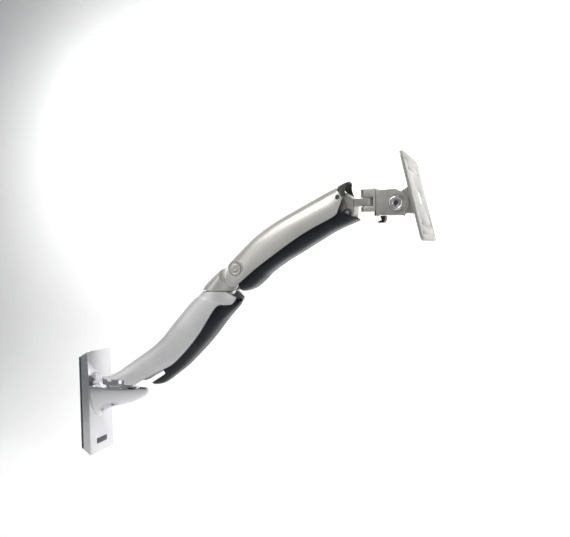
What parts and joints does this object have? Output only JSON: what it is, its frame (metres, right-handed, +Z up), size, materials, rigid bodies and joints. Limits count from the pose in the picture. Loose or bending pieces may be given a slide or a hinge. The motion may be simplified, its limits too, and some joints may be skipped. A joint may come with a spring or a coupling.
{
  "type": "monitor arm",
  "caption": "Wall-mounted monitor arm: swivelling extension, parallel-link lifting arm with gas spring, and a pan, tilt and rotate head with a square display plate.",
  "frame": {"origin": "centre of the wall plate's back face, on the wall", "axes": "+X points out of the wall, +Z is up, and the arm lies in the XZ plane at rest"},
  "size_m": [0.6001, 0.12, 0.4801],
  "materials": {
    "polished_aluminium": "polished",
    "satin_cast": "satin",
    "silver_paint": "satin",
    "bright_steel": "satin",
    "dark_steel": "satin",
    "black_plastic": "satin",
    "charcoal_plastic": "satin",
    "white_nylon": "matte",
    "grey_badge": "satin"
  },
  "bodies": {
    "root": {"wall_back_plate": "dark_steel", "wall_cover": "polished_aluminium", "blank_badge": "grey_badge", "swivel_bracket": "polished_aluminium", "bracket_screw_1": "bright_steel", "bracket_screw_2": "bright_steel", "bracket_screw_3": "bright_steel", "base_shaft": "bright_steel", "base_washer": "bright_steel", "base_nut": "bright_steel"},
    "extension": {"extension_shell": "polished_aluminium", "extension_cable_cover": "black_plastic", "base_bush": "white_nylon", "elbow_bush": "white_nylon"},
    "shoulder": {"shoulder_yoke": "silver_paint", "elbow_shaft": "bright_steel", "elbow_washer": "bright_steel", "elbow_nut": "bright_steel", "shoulder_pin": "bright_steel", "spring_rear_pin": "bright_steel", "link_rear_pin_near": "bright_steel", "link_rear_pin_far": "bright_steel"},
    "upper_arm": {"arm_upper_shell": "silver_paint", "arm_end_cap": "charcoal_plastic", "pivot_cap_near": "silver_paint", "pivot_cap_far": "silver_paint", "shoulder_bush_near": "white_nylon", "shoulder_bush_far": "white_nylon", "front_pivot_pin": "dark_steel", "spring_anchor_block": "bright_steel", "spring_front_pin": "bright_steel"},
    "adjuster": {"lift_adjust_screw": "dark_steel"},
    "spring_cylinder": {"gas_spring_cylinder": "black_plastic"},
    "spring_rod": {"gas_spring_rod": "bright_steel"},
    "lower_link": {"lower_link": "dark_steel", "arm_lower_cover": "black_plastic"},
    "front_bracket": {"front_bracket": "satin_cast", "link_front_pin_near": "bright_steel", "link_front_pin_far": "bright_steel"},
    "pan_head": {"pan_clevis": "satin_cast", "tilt_block": "satin_cast", "pan_bolt": "bright_steel", "pan_washer_upper": "white_nylon", "pan_washer_lower": "white_nylon", "block_screw_upper": "bright_steel", "block_screw_lower": "bright_steel", "cable_clip": "black_plastic", "tilt_washer_near_1": "bright_steel", "tilt_washer_near_2": "bright_steel", "tilt_washer_far_1": "bright_steel", "tilt_washer_far_2": "bright_steel", "tilt_bolt": "bright_steel", "tilt_nut": "bright_steel"},
    "tilt_head": {"tilt_yoke": "satin_cast", "tilt_spring": "dark_steel"},
    "display_plate": {"rotation_disc": "white_nylon", "display_plate": "satin_cast", "rotation_pin": "bright_steel", "rotation_nut": "bright_steel"}
  },
  "joints": [
    {"name": "base_swivel", "type": "hinge", "parent": "root", "child": "extension", "pos_m": [0.068, 0, 0.036], "axis": [0, 0, 1], "range_deg": [-90, 90]},
    {"name": "elbow_swivel", "type": "hinge", "parent": "extension", "child": "shoulder", "pos_m": [0.271, 0, 0.199], "axis": [0, 0, 1], "range_deg": [-180, 180]},
    {"name": "arm_lift", "type": "hinge", "parent": "shoulder", "child": "upper_arm", "pos_m": [0.312, 0, 0.235], "axis": [0, -1, 0], "range_deg": [-40, 3]},
    {"name": "front_level", "type": "hinge", "parent": "upper_arm", "child": "front_bracket", "pos_m": [0.47588, 0, 0.33503], "axis": [0, -1, 0], "range_deg": [-3, 40]},
    {"name": "link_swing", "type": "hinge", "parent": "shoulder", "child": "lower_link", "pos_m": [0.324, 0, 0.213], "axis": [0, -1, 0], "range_deg": [-40, 3]},
    {"name": "spring_swing", "type": "hinge", "parent": "upper_arm", "child": "spring_cylinder", "pos_m": [0.44212, 0, 0.30974], "axis": [0, -1, 0], "range_deg": [-0.2, 1.7]},
    {"name": "spring_stroke", "type": "slide", "parent": "spring_cylinder", "child": "spring_rod", "axis": [-0.8114, 0, -0.5845], "range_m": [-0.0126, 0.0012]},
    {"name": "lift_adjust", "type": "hinge", "parent": "upper_arm", "child": "adjuster", "pos_m": [0.42723, 0, 0.31494], "axis": [0.8536, 0, 0.521], "continuous": true},
    {"name": "head_pan", "type": "hinge", "parent": "front_bracket", "child": "pan_head", "pos_m": [0.51488, 0, 0.32753], "axis": [0, 0, 1], "range_deg": [-90, 90]},
    {"name": "head_tilt", "type": "hinge", "parent": "pan_head", "child": "tilt_head", "pos_m": [0.55788, 0, 0.32303], "axis": [0, -1, 0], "range_deg": [-18, 57]},
    {"name": "display_rotate", "type": "hinge", "parent": "tilt_head", "child": "display_plate", "pos_m": [0.58292, 0, 0.32882], "axis": [0.9744, 0, 0.225], "continuous": true}
  ],
  "couplings": [
    {"joint": "front_level", "follows": "arm_lift", "ratio": -1},
    {"joint": "link_swing", "follows": "arm_lift", "ratio": 1},
    {"joint": "spring_swing", "follows": "arm_lift", "ratio": -0.04},
    {"joint": "spring_stroke", "follows": "arm_lift", "m_per_rad": 0.01755}
  ]
}
